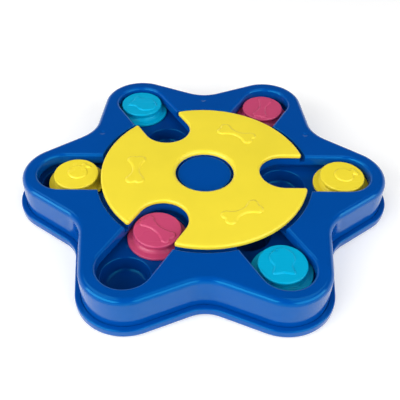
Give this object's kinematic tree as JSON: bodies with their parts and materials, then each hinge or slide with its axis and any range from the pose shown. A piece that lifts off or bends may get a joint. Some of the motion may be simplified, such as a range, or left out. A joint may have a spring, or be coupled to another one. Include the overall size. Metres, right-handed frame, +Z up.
{
  "type": "dog puzzle feeder toy",
  "caption": "Star-shaped dog treat puzzle: a notched turntable turns over cups covered by caps that slide along radial slots.",
  "frame": {"origin": "on the ground, midway between the ends of the star", "axes": "+Z up along the turntable's axis, +X along one arm and its slot, +Y between two arms"},
  "size_m": [0.26, 0.2338, 0.0326],
  "materials": {
    "base_blue": "gloss moulded plastic",
    "shell_blue": "gloss moulded plastic",
    "pan_blue": "gloss moulded plastic",
    "hub_blue": "gloss moulded plastic",
    "turntable_yellow": "satin moulded plastic",
    "slider_yellow": "satin moulded plastic",
    "slider_pink": "satin moulded plastic",
    "slider_teal": "satin moulded plastic",
    "steel": "plated",
    "foot_rubber": "matt rubber"
  },
  "bodies": {
    "tray": {"base_tray": "base_blue", "top_shell": "shell_blue", "slot_pan_0": "pan_blue", "slot_pan_60": "pan_blue", "slot_pan_120": "pan_blue", "slot_pan_180": "pan_blue", "slot_pan_240": "pan_blue", "slot_pan_300": "pan_blue", "hub_cap": "hub_blue", "hub_screw": "steel", "hub_washer": "steel", "shell_screws": "steel", "foot_0": "foot_rubber", "foot_60": "foot_rubber", "foot_120": "foot_rubber", "foot_180": "foot_rubber", "foot_240": "foot_rubber", "foot_300": "foot_rubber"},
    "turntable": {"turntable": "turntable_yellow", "turntable_collar": "hub_blue"},
    "slider_0": {"slider_0": "slider_yellow"},
    "slider_60": {"slider_60": "slider_pink"},
    "slider_120": {"slider_120": "slider_teal"},
    "slider_180": {"slider_180": "slider_yellow"},
    "slider_240": {"slider_240": "slider_pink"},
    "slider_300": {"slider_300": "slider_teal"}
  },
  "joints": [
    {"name": "turntable_spin", "type": "hinge", "parent": "tray", "child": "turntable", "pos_m": [0, 0, 0.0264], "axis": [0, 0, 1], "continuous": true},
    {"name": "slider_0_travel", "type": "slide", "parent": "tray", "child": "slider_0", "axis": [1, 0, 0], "range_m": [-0.0413, 0.0017]},
    {"name": "slider_60_travel", "type": "slide", "parent": "tray", "child": "slider_60", "axis": [0.5, 0.866, 0], "range_m": [-0.038, 0.005]},
    {"name": "slider_120_travel", "type": "slide", "parent": "tray", "child": "slider_120", "axis": [-0.5, 0.866, 0], "range_m": [-0.0426, 0.0004]},
    {"name": "slider_180_travel", "type": "slide", "parent": "tray", "child": "slider_180", "axis": [-1, 0, 0], "range_m": [-0.0342, 0.0088]},
    {"name": "slider_240_travel", "type": "slide", "parent": "tray", "child": "slider_240", "axis": [-0.5, -0.866, 0], "range_m": [-0.0062, 0.0368]},
    {"name": "slider_300_travel", "type": "slide", "parent": "tray", "child": "slider_300", "axis": [0.5, -0.866, 0], "range_m": [-0.0385, 0.0045]}
  ]
}
